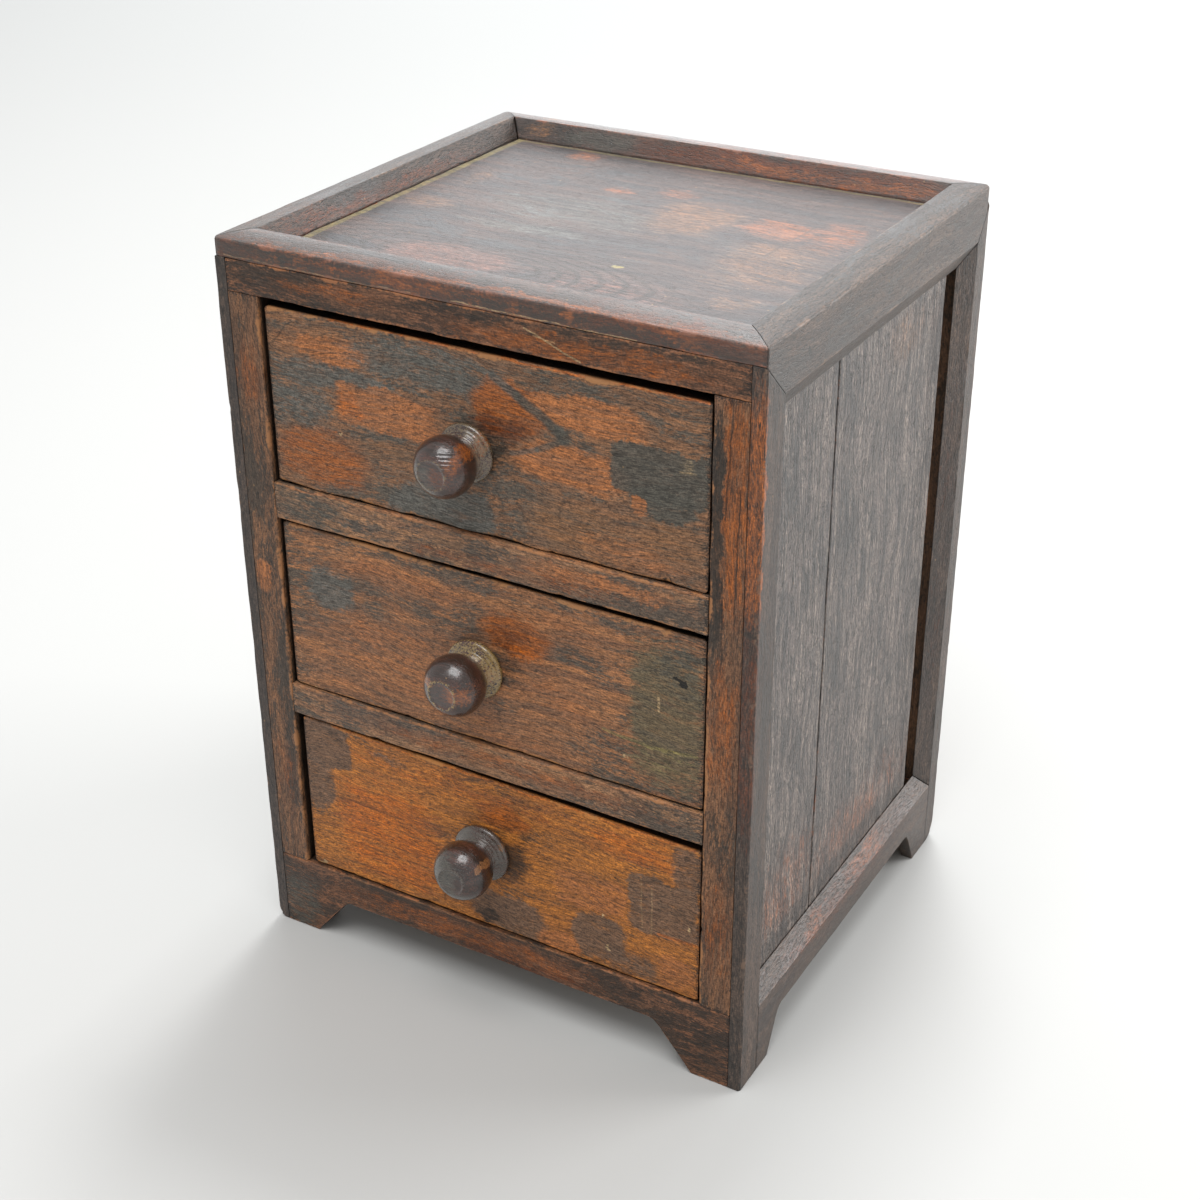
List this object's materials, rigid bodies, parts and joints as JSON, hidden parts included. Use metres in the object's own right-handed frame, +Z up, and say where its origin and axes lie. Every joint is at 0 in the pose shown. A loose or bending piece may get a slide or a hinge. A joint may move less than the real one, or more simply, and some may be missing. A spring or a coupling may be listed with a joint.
{
  "type": "desktop mini drawers",
  "caption": "Small wooden chest of stacked sliding drawers with round knobs, a sunk panelled top and bracket feet, for keeping small craft parts on a desk.",
  "frame": {"origin": "middle of the foot of the whole box, knobs included, on the surface that the feet stand on", "axes": "+Z up; -Y out of the drawer fronts, the way the drawers open; +X to the right seen from the front"},
  "size_m": [0.18, 0.1788, 0.2478],
  "materials": {
    "top_frame_wood": "dark brown stain, waxed, rubbed through to orange along the edges",
    "top_panel_wood": "grey-brown stain, worn along the grain, dusty in the corners",
    "side_frame_wood": "dark brown stain, waxed, rubbed along the bevels",
    "side_wood": "grey-brown stain with an upright grain",
    "front_frame_wood": "red-brown stain with dark grain, waxed",
    "upper_front_wood": "orange-brown stain, clouded with dark patches, waxed",
    "middle_front_wood": "mottled brown stain with a greenish dust, waxed",
    "lower_front_wood": "bright orange-brown stain with dark patches, waxed",
    "knob_wood": "turned, dark brown, glossy wax, dust in the grooves",
    "drawer_inner_wood": "bare aged softwood, planed",
    "inner_wood": "bare aged softwood, sawn",
    "back_wood": "thin dark stain, planed"
  },
  "bodies": {
    "carcass": {"top_front_rail": "top_frame_wood", "top_rear_rail": "top_frame_wood", "left_top_rail": "side_frame_wood", "right_top_rail": "side_frame_wood", "top_panel": "top_panel_wood", "left_front_post": "side_frame_wood", "right_front_post": "side_frame_wood", "left_rear_post": "side_frame_wood", "right_rear_post": "side_frame_wood", "left_bottom_rail": "side_frame_wood", "right_bottom_rail": "side_frame_wood", "left_front_board": "side_wood", "right_front_board": "side_wood", "left_rear_board": "side_wood", "right_rear_board": "side_wood", "front_top_rail": "front_frame_wood", "left_stile": "front_frame_wood", "right_stile": "front_frame_wood", "upper_mid_rail": "front_frame_wood", "lower_mid_rail": "front_frame_wood", "front_apron": "front_frame_wood", "back_top_rail": "back_wood", "back_left_stile": "back_wood", "back_right_stile": "back_wood", "back_apron": "back_wood", "back_left_board": "back_wood", "back_right_board": "back_wood", "bottom_board": "inner_wood", "left_upper_runner": "inner_wood", "left_middle_runner": "inner_wood", "left_lower_runner": "inner_wood", "right_upper_runner": "inner_wood", "right_middle_runner": "inner_wood", "right_lower_runner": "inner_wood"},
    "upper_drawer": {"upper_drawer_front": "upper_front_wood", "upper_drawer_left_side": "drawer_inner_wood", "upper_drawer_right_side": "drawer_inner_wood", "upper_drawer_back": "drawer_inner_wood", "upper_drawer_bottom": "drawer_inner_wood", "upper_drawer_knob": "knob_wood"},
    "middle_drawer": {"middle_drawer_front": "middle_front_wood", "middle_drawer_left_side": "drawer_inner_wood", "middle_drawer_right_side": "drawer_inner_wood", "middle_drawer_back": "drawer_inner_wood", "middle_drawer_bottom": "drawer_inner_wood", "middle_drawer_knob": "knob_wood"},
    "lower_drawer": {"lower_drawer_front": "lower_front_wood", "lower_drawer_left_side": "drawer_inner_wood", "lower_drawer_right_side": "drawer_inner_wood", "lower_drawer_back": "drawer_inner_wood", "lower_drawer_bottom": "drawer_inner_wood", "lower_drawer_knob": "knob_wood"}
  },
  "joints": [
    {"name": "upper_drawer_slide", "type": "slide", "parent": "carcass", "child": "upper_drawer", "axis": [0, -1, 0], "range_m": [0, 0.11]},
    {"name": "middle_drawer_slide", "type": "slide", "parent": "carcass", "child": "middle_drawer", "axis": [0, -1, 0], "range_m": [0, 0.11]},
    {"name": "lower_drawer_slide", "type": "slide", "parent": "carcass", "child": "lower_drawer", "axis": [0, -1, 0], "range_m": [0, 0.11]}
  ]
}
